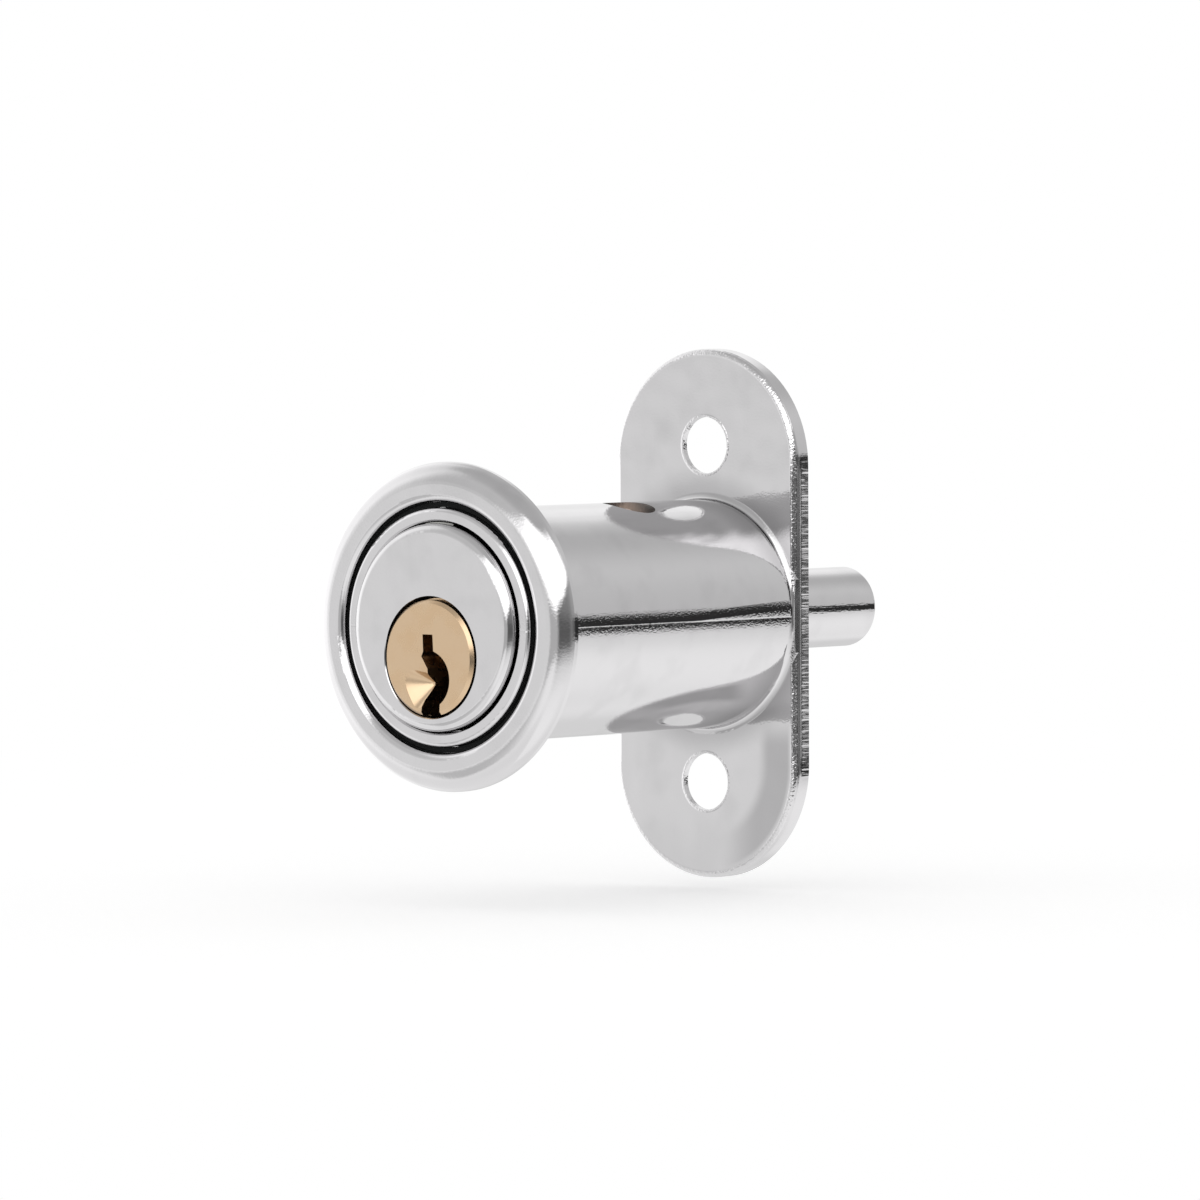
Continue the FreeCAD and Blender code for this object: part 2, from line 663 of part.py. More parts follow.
def plug():
    """Brass plug with its keyway, pin chambers, ring groove and square tang."""
    nose_radius = PLUG_RADIUS - PLUG_NOSE_STEP
    nose_end = PLUG_FRONT + PLUG_NOSE_LENGTH
    nose = rod(nose_radius, PLUG_FRONT, nose_end, PLUG_CENTRE)
    nose = nose.makeChamfer(PLUG_FACE_CHAMFER, rims(nose, nose_radius, PLUG_FRONT))
    barrel = rod(PLUG_RADIUS, nose_end, PLUG_END, PLUG_CENTRE)
    solid = barrel.fuse([nose, tang(TANG_WIDTH / 2, PLUG_END + TANG_LENGTH)])
    half_groove = RETAINER_RADIUS + TURNING_GAP
    groove_floor = -RETAINER_HEIGHT - PLUG_DROP - half_groove
    groove = [
        (groove_floor, RETAINER_PLACE - half_groove),
        (PLUG_DIAMETER, RETAINER_PLACE - half_groove),
        (PLUG_DIAMETER, RETAINER_PLACE + half_groove),
        (groove_floor, RETAINER_PLACE + half_groove),
    ]
    cuts = [turned(groove, PLUG_CENTRE), keyway(), key_lead_in()]
    chamber_foot = SHEAR_LINE - CHAMBER_DEPTH
    cuts += [chamber(place, chamber_foot + CHAMBER_RADIUS, COVER_FLOOR) for place in pin_places()]
    for cut in cuts:
        solid = solid.cut(cut)
    return solid.removeSplitter()


def tang(half, end):
    """Square end that drives the cam disc."""
    return block(-half, half, PLUG_END, end, -PLUG_DROP - half, -PLUG_DROP + half)


def pin_body(place, foot, top, point):
    """Tumbler pin standing on foot, with a pointed or a chamfered lower end."""
    outline = [
        Vector(0, place, foot),
        Vector(PIN_RADIUS - point, place, foot),
        Vector(PIN_RADIUS, place, foot + point),
        Vector(PIN_RADIUS, place, top - PIN_CHAMFER),
        Vector(PIN_RADIUS - PIN_CHAMFER, place, top),
        Vector(0, place, top),
        Vector(0, place, foot),
    ]
    axis_point = Vector(0, place, 0)
    return Part.Face(Part.makePolygon(outline)).revolve(axis_point, UP, 360)


def key_pin(index):
    """Brass pin that the key lifts, cut to its own length."""
    flat = PIN_RADIUS - PIN_CHAMFER
    top = math.sqrt((PLUG_RADIUS - PRESSED_GAP) ** 2 - flat**2) - PLUG_DROP
    length = KEY_PIN_SHORTEST + KEY_PIN_STEP * KEY_PIN_CODES[index]
    return pin_body(pin_places()[index], top - length, top, 2 * PIN_CHAMFER)


def driver_pin(index):
    """Pin that the spring presses down on the key pin."""
    top = DRIVER_FOOT + DRIVER_PIN_LENGTH
    return pin_body(pin_places()[index], DRIVER_FOOT, top, PIN_CHAMFER)


def tumbler_spring(index):
    """Small spring between a driver pin and the cover strip."""
    bottom = DRIVER_FOOT + DRIVER_PIN_LENGTH + PRESSED_GAP
    length = COVER_FLOOR - PRESSED_GAP - bottom
    foot = Vector(0, pin_places()[index], bottom)
    mean_radius = PIN_RADIUS - TUMBLER_SPRING_WIRE
    return coil(mean_radius, TUMBLER_SPRING_WIRE, TUMBLER_SPRING_TURNS, foot, UP, length)


def scroll_place(turn):
    """Place of the peg in the disc's own frame after the plug has turned by this many degrees."""
    angle = math.radians(turn)
    along = PEG_HEIGHT - DETENT_TRAVEL * turn / KEY_TURN
    x = DETENT_WAY.x * along
    z = DETENT_WAY.z * along + PLUG_DROP
    turned_x = x * math.cos(angle) - z * math.sin(angle)
    turned_z = x * math.sin(angle) + z * math.cos(angle)
    return Vector(turned_x, 0, turned_z)


def scroll_groove():
    """Groove in the back of the disc that draws the peg in as the disc turns."""
    radius = PEG_DIAMETER / 2 + PEG_GAP
    steps = 12
    small_turn = 0.01
    left = []
    right = []
    for step in range(steps + 1):
        turn = KEY_TURN * step / steps
        run = (scroll_place(turn + small_turn) - scroll_place(turn - small_turn)).normalize()
        side = run.cross(ALONG) * radius
        left.append(scroll_place(turn) + side)
        right.append(scroll_place(turn) - side)
    first_run = (scroll_place(0) - scroll_place(small_turn)).normalize()
    last_run = (scroll_place(KEY_TURN) - scroll_place(KEY_TURN - small_turn)).normalize()
    left_side = Part.BSplineCurve()
    left_side.interpolate(left)
    right_side = Part.BSplineCurve()
    right_side.interpolate(right)
    edges = [
        left_side.toShape(),
        Part.Arc(left[-1], scroll_place(KEY_TURN) + last_run * radius, right[-1]).toShape(),
        right_side.toShape(),
        Part.Arc(right[0], scroll_place(0) + first_run * radius, left[0]).toShape(),
    ]
    face = Part.Face(Part.Wire(Part.__sortEdges__(edges)))
    face.translate(PLUG_CENTRE + ALONG * (DISC_BACK - SCROLL_DEPTH))
    return face.extrude(ALONG * SCROLL_DEPTH)


def cam_disc():
    """Disc on the plug's tang, with the scroll groove in its back."""
    disc = rod(PLUG_RADIUS - DISC_SIDE_GAP, DISC_FRONT, DISC_BACK, PLUG_CENTRE)
    socket = tang(TANG_WIDTH / 2 + PRESSED_GAP, PLUG_END + TANG_LENGTH + DISC_END_GAP)
    return disc.cut(socket).cut(scroll_groove())


def detent_tip():
    """Outline of the detent's point: a rounded cone as steep as the plunger's own motion needs."""
    slope = math.atan(DETENT_RATE)
    centre = DETENT_REACH - DETENT_TIP_ROUND
    join_radius = DETENT_TIP_ROUND * math.sin(slope)
    join_height = centre + DETENT_TIP_ROUND * math.cos(slope)
    shoulder = join_height - (DETENT_RADIUS - join_radius) * DETENT_RATE
    middle_radius = DETENT_TIP_ROUND * math.sin(slope / 2)
    middle_height = centre + DETENT_TIP_ROUND * math.cos(slope / 2)
    return shoulder, (join_radius, join_height), (middle_radius, middle_height)


def detent():
    """Brass detent, hollow from below for its spring, that stands out into the barrel's hole."""
    shoulder, join, middle = detent_tip()
    points = [
        Vector(0, 0, DETENT_FOOT),
        Vector(DETENT_RADIUS, 0, DETENT_FOOT),
        Vector(DETENT_RADIUS, 0, shoulder),
        Vector(join[0], 0, join[1]),
    ]
    top = Vector(0, 0, DETENT_REACH)
    edges = [Part.LineSegment(a, b).toShape() for a, b in zip(points, points[1:])]
    edges.append(Part.Arc(points[-1], Vector(middle[0], 0, middle[1]), top).toShape())
    edges.append(Part.LineSegment(top, points[0]).toShape())
    solid = Part.Face(Part.Wire(edges)).revolve(Vector(0, 0, 0), UP, 360)
    hollow_depth = DETENT_BORE_END - DETENT_FOOT
    hollow = Part.makeCylinder(DETENT_BORE_DIAMETER / 2, hollow_depth, UP * DETENT_FOOT, UP)
    solid = solid.cut(hollow)
    solid.Placement = FreeCAD.Placement(ALONG * DETENT_PLACE, FreeCAD.Rotation(UP, DETENT_WAY))
    return solid.cut(peg_rod(PEG_DIAMETER / 2 + PRESSED_GAP))


def peg_rod(radius):
    """Rod from the wall of the detent into the scroll groove."""
    start = DISC_BACK - SCROLL_DEPTH + DISC_END_GAP
    end = DETENT_PLACE - DETENT_BORE_DIAMETER / 2 - TURNING_GAP
    return rod(radius, start, end, DETENT_WAY * PEG_HEIGHT)


def detent_peg():
    """Steel peg by which the cam disc draws the detent in."""
    return peg_rod(PEG_DIAMETER / 2)


def detent_spring():
    """Spring inside the hollow detent that pushes it out."""
    foot = DETENT_WAY * (DETENT_SEAT + PRESSED_GAP) + ALONG * DETENT_PLACE
    length = DETENT_BORE_END - DETENT_SEAT - 2 * PRESSED_GAP
    mean_radius = DETENT_BORE_DIAMETER / 2 - DETENT_SPRING_WIRE / 2 - PEG_GAP
    return coil(mean_radius, DETENT_SPRING_WIRE, DETENT_SPRING_TURNS, foot, DETENT_WAY, length)


def build():
    """Every piece of the lock by name."""
    springs = {"main_spring": main_spring(), "detent_spring": detent_spring()}
    for index in range(PIN_COUNT):
        springs[f"tumbler_spring_{index + 1}"] = tumbler_spring(index)
    for name, (shape, gap) in springs.items():
        print(name, "least gap between turns, mm:", round(gap, 2))
    pieces = {name: shape for name, (shape, gap) in springs.items()}
    pieces |= {
        "housing": housing(),
        "guide_pin": guide_pin(),
        "rosette": rosette(),
        "rosette_bush": rosette_bush(),
        "plunger_body": plunger_body(),
        "chamber_cover": chamber_cover(),
        "plug_retaining_pin": plug_retaining_pin(),
        "bolt": bolt(),
        "bolt_cross_pin": bolt_cross_pin(),
        "plug": plug(),
        "cam_disc": cam_disc(),
        "detent": detent(),
        "detent_peg": detent_peg(),
    }
    for index in range(PIN_COUNT):
        pieces[f"key_pin_{index + 1}"] = key_pin(index)
        pieces[f"driver_pin_{index + 1}"] = driver_pin(index)
    return pieces


def main():
    os.makedirs("parts", exist_ok=True)
    for name, shape in build().items():
        if not shape.isValid() or len(shape.Solids) != 1:
            raise ValueError(f"{name} is not one valid solid")
        shape.exportStep(os.path.join("parts", f"{name}.step"))
        print(name, round(shape.Volume, 2), "mm3")


main()
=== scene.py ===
"""Looks of a chrome push lock for a cabinet door: its finishes, its studio and its camera."""
import math

import bpy
from mathutils import Matrix, Vector

bl_info = {
    "name": "Push lock looks",
    "version": (1, 0, 0),
    "blender": (4, 5, 0),
    "location": "View3D > Sidebar > Push lock",
    "description": "Finishes, studio and camera of a chrome push lock",
    "category": "Object",
}

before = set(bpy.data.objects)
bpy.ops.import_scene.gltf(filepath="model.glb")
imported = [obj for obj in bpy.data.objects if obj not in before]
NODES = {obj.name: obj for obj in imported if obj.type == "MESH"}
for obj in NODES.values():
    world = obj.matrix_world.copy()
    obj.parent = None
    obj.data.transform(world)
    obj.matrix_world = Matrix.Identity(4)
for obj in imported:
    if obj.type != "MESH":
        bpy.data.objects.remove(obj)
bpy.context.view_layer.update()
MM = 0.001

# The picture is square, and the lock's origin stands at this pixel of it
PICTURE_WIDTH = 1200
ORIGIN_PIXEL = (705.28, 613.47)
FOCAL_PIXELS = 9560.0
SENSOR_WIDTH = 36.0
# Nearest and farthest that the camera sees, in metres
CLIP_START = 0.01
CLIP_END = 20

# Places on the lock, in millimetres from its origin, and the tilt of the detent's hole
FLANGE_HALF_WIDTH = 11.0
FLANGE_END_CENTRE = 14.15
SCREW_PLACE = 16.0
SCREW_HOLE_RADIUS = 2.7
BORE_RADIUS = 9.8
BARREL_FRONT = -38.86
PLUNGER_FRONT = -39.86
PLUG_BORE_RADIUS = 5.55
PLUG_DROP = 2.78
DETENT_HOLE_PLACE = -13.5
DETENT_HOLE_RADIUS = 2.5
DETENT_TILT = math.radians(10)

# Each pair below says where a mark starts and where it is full, in millimetres
# Along the lock: barrel, flange, the flange's front face, and the two parts of its thickness
BARREL_ALONG = (-0.3, -0.6)
FLANGE_ALONG = (-0.3, -0.05)
FACE_ALONG = (1.2, 0.4)
ROUNDED_ALONG = (0.75, 0.5)
TORN_ALONG = (0.8, 1.1)
# Outward from the flange's long middle line: its rounded edge, and the wall round it
EDGE_INSIDE = (FLANGE_HALF_WIDTH - 0.65, FLANGE_HALF_WIDTH - 0.4)
EDGE_OUTSIDE = (FLANGE_HALF_WIDTH - 0.03, FLANGE_HALF_WIDTH - 0.1)
WALL_OUTWARD = (FLANGE_HALF_WIDTH - 0.1, FLANGE_HALF_WIDTH - 0.03)
SCREW_HOLE_RIM = (SCREW_HOLE_RADIUS + 0.3, SCREW_HOLE_RADIUS + 0.1)
# Away from the lock's middle height: the straight part of the flange's wall, and the barrel's streaks
STRAIGHT_WALL = (16.4, 12.4)
BARREL_STREAKS = (1.9, 0.7)
BOLT_STREAKS = (1.0, 0.3)

# The flange's straight sides aren't quite square: start, length and slope of where the wall falls off
# toward the bolt, behind the rounded edge, and of where the rounded edge itself falls off outward
WALL_FALL = (0.6, 0.45, -0.34)
EDGE_FALL = (10.42, 0.4, -0.4)
# How much rougher the straight sides are, and how far their torn lines are drawn out across them
WALL_ROUGHNESS = 0.16
TEAR_STRETCH = 10.0

# The trimmed flat along the barrel's seam, in millimetres: it widens toward the flange, and above it
# the slope falls to a share of the flat's. A fine line marks the seam itself.
SEAM_WIDENS_FROM = -17.0
SEAM_WIDENING = 0.05
SEAM_LOWER_EDGE = -0.12
SEAM_FADE_HEIGHT = 0.85
SEAM_FADE_SHARE = 0.5
SEAM_FADE_ALONG = (-18, -4)
SEAM_LINE_HEIGHT = -0.07
SEAM_LINE_WIDTH = (0.13, 0.0)
SEAM_LINE_DEPTH = -0.008
# How far the streaks of the barrel and of the bolt are drawn out along the lock
BARREL_STREAK_STRETCH = 1.4
BOLT_STREAK_STRETCH = 8.0

# Darker areas on the flange's front face, in millimetres, and the share of brightness they keep: a painted
# dark reflection low on the right, the lower end, and painted shade close round the barrel
PAINTED_REFLECTION_INSIDE = (6.3, 7.8)
PAINTED_REFLECTION_OUTSIDE = (10.5, 9.9)
PAINTED_REFLECTION_ACROSS = (1.5, 6.5)
PAINTED_REFLECTION_DOWN = (-9.5, -12.5)
PAINTED_REFLECTION_SHARE = 0.7
LOWER_END_DOWN = (-18, -24)
LOWER_END_SHARE = 0.93
# painted shade in the corner where the flange's face meets the barrel
PAINTED_SHADE_ROUND_BARREL = (14.2, 11.2)
PAINTED_SHADE_ROUND_BARREL_SHARE = 0.74

# Painted shade as a dark rough film in the gaps round the plunger and the plug, in millimetres, and the
# detent's bare hole
GAP_SHADE_COLOUR = "#1A1918"
GAP_SHADE_ROUGHNESS = 0.5
GAP_SHADE_REACH = 4.0
BORE_GAP_SHADE = (BORE_RADIUS + 0.12, BORE_RADIUS + 0.03)
BORE_GAP_SHADE_ALONG = (BARREL_FRONT + 0.1, BARREL_FRONT + 0.25)
BORE_GAP_SHADE_ENDS = (BARREL_FRONT + GAP_SHADE_REACH + 1, BARREL_FRONT + GAP_SHADE_REACH)
PLUG_GAP_SHADE = (PLUG_BORE_RADIUS + 0.35, PLUG_BORE_RADIUS + 0.25)
PLUG_GAP_SHADE_ALONG = (PLUNGER_FRONT + 0.08, PLUNGER_FRONT + 0.2)
PLUG_GAP_SHADE_ENDS = (PLUNGER_FRONT + GAP_SHADE_REACH + 1, PLUNGER_FRONT + GAP_SHADE_REACH)
HOLE_COLOUR = "#86827F"
HOLE_ROUGHNESS = 0.35
HOLE_WALL = (DETENT_HOLE_RADIUS + 0.04, DETENT_HOLE_RADIUS - 0.02)
HOLE_HEIGHT = (8.0, 8.5)

# Smudges of handling on chrome: size in millimetres, where the noise begins to show and shows in full,
# share of brightness kept, and added roughness
SMUDGE_SIZE = 4.0
SMUDGE_SPAN = (0.45, 0.75)
SMUDGE_SHARE = 0.94
SMUDGE_ROUGHNESS = 0.03

# How much of the chrome's peel and ripple the trim ring and the plunger show
RING_PEEL = 1.5
RING_RIPPLE = 0.5
PLUNGER_RIPPLE = 0.3

# Unevenness of brass, steel and rubber: each grain as size and depth in millimetres, each cloud as size
# in millimetres and added roughness
BRASS_GRAIN = (0.12, 0.0015)
BRASS_CLOUD_SIZE = 2.5
BRASS_CLOUD_DETAIL = 3.0
BRASS_CLOUD_SPAN = (0.4, 0.7)
BRASS_CLOUD_TINT = (0.97, 0.94, 0.9)
BRASS_CLOUD_ROUGHNESS = 0.06
STEEL_LINES = (0.08, 0.002)
STEEL_CLOUD_SIZE = 5 / 3
STEEL_CLOUD_ROUGHNESS = 0.1
# How far the lines of steel are drawn out: ground pins and strips, and drawn wire
GROUND = 1.0
DRAWN = 6.0
RUBBER_GRAIN = (0.1, 0.01)
RUBBER_DUST_COLOUR = "#0C0E0E"
RUBBER_DUST = (1.5, 0.6)
RUBBER_SPECULAR = 0.25

# The light tent is a sphere whose brightness goes by direction, in degrees: height above the horizon,
# and side, from 0 at the key side through 90 at the right to 180 at the bolt.
# Levels by height, as pairs of degrees and level
TENT_LEVELS = (
    (-90, 1.2), (-42, 1.2), (-35, 1.29), (-24, 1.32), (-14, 1.25), (-10, 1.2), (-7, 1.08), (-2, 1.05),
    (2, 0.95), (6, 0.89), (14, 0.88), (28, 0.89), (45, 0.8), (60, 0.68), (90, 0.66))
LEFT_WALL_LEVELS = (
    (-90, 1.2), (-36, 1.2), (-26, 1.24), (-16, 1.46), (-6, 1.64), (4, 1.64), (12, 1.52), (22, 1.44),
    (32, 1.36), (42, 1.24), (52, 1.06), (62, 0.7), (90, 0.66))
BACK_WALL_LEVELS = (
    (-90, 1.2), (-42, 1.08), (-36, 1.0), (-28, 0.91), (-19, 0.82), (-9, 0.7), (-3, 0.78), (3, 0.94),
    (10, 1.0), (18, 1.1), (25, 1.22), (31, 1.2), (36, 0.98), (40, 0.84), (62, 0.7), (90, 0.66))
GAP_LEVELS = (
    (-90, 1.3), (-38, 1.3), (-30, 1.2), (-24, 1.1), (-18, 0.8), (-12, 0.36), (-7, 0.18), (0, 0.16),
    (5, 0.24), (12, 0.33), (90, 0.33))
# Panels laid over it one after the other: level, and for each edge the angle it goes by, where the
# panel starts and where it is full
TENT_PANELS = (
    # grey high up behind the bolt
    (0.7, (("far side", 150, 178), ("height", 5, 20))),
    # two grey panels in front, low and high
    (0.79, (("side", 10, -36), ("side", -52, -40), ("height", -9, -15), ("height", -44, -34))),
    (0.81, (("side", 0, -16), ("side", -60, -44), ("height", 8, 14), ("height", 46, 34))),
    # bright wall on the left, and the darker one that follows it behind
    (LEFT_WALL_LEVELS, (("side", -150, -120), ("side", -38, -66))),
    (BACK_WALL_LEVELS, (("side", -178, -158), ("side", -118, -142))),
    # grey panel straight in front
    (0.68, (("side", -20, -6), ("side", 50, 40), ("height", -16, -9), ("height", 11, 3))),
    # dark gap on the right, with a black strip in it
    (GAP_LEVELS, (("side", 20, 40), ("side", 160, 80), ("height", 34, 22))),
    (0.04, (("side", 95, 120), ("side", 178, 165), ("height", -7.4, -5.6), ("height", 6.2, 2.6))),
    # soft box above the gap
    (2.3, (("slant", -43, -27), ("side", 125, 108), ("above gap", -4, 4), ("height", 60, 48))),
)
# The soft box's lower edge rises with the side by this slope, but stays at or above its lowest height
SOFT_BOX_SLOPE = 0.245
SOFT_BOX_DROP = 0.5
SOFT_BOX_LOWEST = 5.0
# The curves that hold the levels end at this level
CURVE_TOP = 2.0
TENT_RADIUS = 2.0
TENT_SEGMENTS = 64
TENT_RINGS = 32

# Floor size and fade to white in metres, what brightens it to the eye, and the room's own light
FLOOR_SIZE = 6.0
FLOOR_FADE = (0.03, 0.25)
FLOOR_LIFT = 0.31
ROOM_LIGHT = 0.75
ROOM_WHITE = 1.0

KEY_PINS = [name for name in NODES if name.startswith("key_pin_")]
DRIVER_PINS = [name for name in NODES if name.startswith("driver_pin_")]
TUMBLER_SPRINGS = [name for name in NODES if name.startswith("tumbler_spring_")]


def linear(colour):
    """Linear RGBA of an sRGB hex colour."""
    values = []
    for start in (1, 3, 5):
        share = int(colour[start:start + 2], 16) / 255
        if share <= 0.04045:
            values.append(share / 12.92)
        else:
            values.append(((share + 0.055) / 1.055) ** 2.4)
    return (*values, 1.0)


def add(tree, kind, settings=None, **links):
    """Adds one shader node, with its settings and what feeds its inputs.

    An input goes by its name with _ for each space, or by _ and its number.
    """
    node = tree.nodes.new(kind)
    for name, value in (settings or {}).items():
        setattr(node, name, value)
    for name, value in links.items():
        key = int(name[1:]) if name[1:].isdigit() else name.replace("_", " ")
        socket = node.inputs[key]
        if isinstance(value, bpy.types.NodeSocket):
            tree.links.new(value, socket)
        else:
            socket.default_value = value
    return node


def new_material(name):
    """Empty material with its output node."""
    material = bpy.data.materials.new(name)
    material.use_nodes = True
    material.node_tree.nodes.clear()
    output = material.node_tree.nodes.new("ShaderNodeOutputMaterial")
    return material, material.node_tree, output


def dress(names, material):
    """Gives the named CAD nodes a finish."""
    for name in names:
        slots = NODES[name].data.materials
        slots.clear()
        slots.append(material)


def number(tree, operation, first, second=0.0):
    """One arithmetic step with numbers of a shader."""
    return add(tree, "ShaderNodeMath", {"operation": operation}, _0=first, _1=second).outputs["Value"]


def rise(tree, value, low, high):
    """Goes softly from 0 at low to 1 at high, or the other way round where low is the larger."""
    step = add(tree, "ShaderNodeMapRange", {"interpolation_type": "SMOOTHSTEP"}, Value=value)
    step.inputs["From Min"].default_value = min(low, high)
    step.inputs["From Max"].default_value = max(low, high)
    if low > high:
        step.inputs["To Min"].default_value = 1
        step.inputs["To Max"].default_value = 0
    return step.outputs["Result"]


def both(tree, first, *others):
    """Mask that is open where all the given masks are."""
    for other in others:
        first = number(tree, "MULTIPLY", first, other)
    return first


def total(tree, first, *others):
    """Sum of several values."""
    for other in others:
        first = number(tree, "ADD", first, other)
    return first


def past(tree, value, start):
    """How far a value is past its start, and 0 before it."""
    return number(tree, "MAXIMUM", number(tree, "SUBTRACT", value, start), 0.0)


def fall(tree, value, start, length, slope):
    """Height that changes by this slope from the start on, over this length."""
    return number(tree, "MULTIPLY", number(tree, "MINIMUM", past(tree, value, start), length), slope)


def span(tree, across, up):
    """Distance in a plane."""
    ends = add(tree, "ShaderNodeCombineXYZ", X=across, Y=up).outputs["Vector"]
    return add(tree, "ShaderNodeVectorMath", {"operation": "LENGTH"}, _0=ends).outputs["Value"]


def in_millimetres(tree):
    """Place on the piece, in millimetres from the lock's origin, whole and split in three."""
    metres = add(tree, "ShaderNodeTexCoord").outputs["Object"]
    scaled = add(tree, "ShaderNodeVectorMath", {"operation": "SCALE"}, _0=metres, Scale=1 / MM)
    place = scaled.outputs["Vector"]
    parts = add(tree, "ShaderNodeSeparateXYZ", Vector=place)
    return place, parts.outputs["X"], parts.outputs["Y"], parts.outputs["Z"]


def noise(tree, place, size, detail):
    """Random value between 0 and 1, of this grain size in millimetres."""
    return add(tree, "ShaderNodeTexNoise", {"noise_dimensions": "3D"}, Vector=place, Scale=1 / size,
               Detail=detail, Roughness=0.5).outputs["Fac"]


def grain(tree, place, size, depth, stretch=1.0, detail=2.0):
    """Random height of this grain size and depth in millimetres, drawn out along the lock by stretch."""
    if stretch != 1.0:
        place = add(tree, "ShaderNodeMapping", Vector=place, Scale=(1.0, 1 / stretch, 1.0)).outputs["Vector"]
    return number(tree, "MULTIPLY", noise(tree, place, size, detail), depth)


def metal(tree, output, colour, roughness, height):
    """Metal shader with a height in millimetres for its surface."""
    bump = add(tree, "ShaderNodeBump", Height=height, Distance=MM, Strength=1.0)
    shader = add(tree, "ShaderNodeBsdfPrincipled", Base_Color=colour, Metallic=1.0, Roughness=roughness,
                 Normal=bump.outputs["Normal"])
    tree.links.new(shader.outputs["BSDF"], output.inputs["Surface"])


def dimmed(colour, share):
    """The same colour with this share of its brightness."""
    return (*(share * part for part in colour[:3]), 1.0)


def paint_over(tree, below, colour, mask):
    """Colour laid over another where the mask is open."""
    return add(tree, "ShaderNodeMix", {"data_type": "RGBA"}, _0=mask, _6=below, _7=colour).outputs[2]


def rougher(tree, roughness, more, mask):
    """Roughness with more of it where the mask is open."""
    return number(tree, "ADD", roughness, number(tree, "MULTIPLY", mask, more))


def handled(tree, place, look):
    """Colour and roughness of a chrome plate with faint smudges of handling."""
    dull = rise(tree, noise(tree, place, SMUDGE_SIZE, 2.0), *SMUDGE_SPAN)
    colour = paint_over(tree, tuple(look.colour), dimmed(look.colour, SMUDGE_SHARE), dull)
    return colour, rougher(tree, look.roughness, SMUDGE_ROUGHNESS, dull)


def painted_gap_shade(tree, colour, roughness, mask):
    """Colour and roughness with painted shade: a dark rough film that leaves a narrow gap black to the eye.
    """
    return (paint_over(tree, colour, linear(GAP_SHADE_COLOUR), mask),
            rougher(tree, roughness, GAP_SHADE_ROUGHNESS, mask))


def peel(tree, place, look, share=1.0):
    """Height of the chrome's fine orange peel."""
    return grain(tree, place, look.peel_grain / MM, share * look.peel_depth / MM)


def ripple(tree, place, look, share=1.0):
    """Height of the slow waves that polishing leaves."""
    return grain(tree, place, look.ripple_grain / MM, share * look.ripple_depth / MM, detail=1.0)


def ring_chrome(look):
    """Bright chrome plate on the polished trim ring.

    The eye sees a mirror whose fine orange peel frays the edges of its reflections, over a slow
    ripple from polishing.
    """
    material, tree, output = new_material("chrome of the trim ring")
    place = in_millimetres(tree)[0]
    height = total(tree, peel(tree, place, look, RING_PEEL), ripple(tree, place, look, RING_RIPPLE))
    metal(tree, output, *handled(tree, place, look), height)
    return material


def plunger_chrome(look):
    """Bright chrome plate on the plunger's casting.

    The eye sees a mirror with a fine orange peel, set off by painted shade: a black film in the gap
    round the plug.
    """
    material, tree, output = new_material("chrome of the plunger")
    place, x, y, z = in_millimetres(tree)
    height = total(tree, peel(tree, place, look), ripple(tree, place, look, PLUNGER_RIPPLE))
    # painted shade: a dark rough film in the gap round the plug
    from_plug = span(tree, x, number(tree, "ADD", z, PLUG_DROP))
    gap = both(tree, rise(tree, from_plug, *PLUG_GAP_SHADE), rise(tree, y, *PLUG_GAP_SHADE_ALONG),
               rise(tree, y, *PLUG_GAP_SHADE_ENDS))
    metal(tree, output, *painted_gap_shade(tree, *handled(tree, place, look), gap), height)
    return material


def bolt_chrome(look, marks):
    """Bright chrome plate on a turned bolt.

    The eye sees long fine streaks where the dark side of the room is mirrored.
    """
    material, tree, output = new_material("chrome of the bolt")
    place, _, _, z = in_millimetres(tree)
    side = rise(tree, number(tree, "ABSOLUTE", z), *BOLT_STREAKS)
    streaks = grain(tree, place, marks.streak_width / MM, marks.streak_depth / MM, BOLT_STREAK_STRETCH)
    height = total(tree, peel(tree, place, look), both(tree, streaks, side))
    metal(tree, output, *handled(tree, place, look), height)
    return material


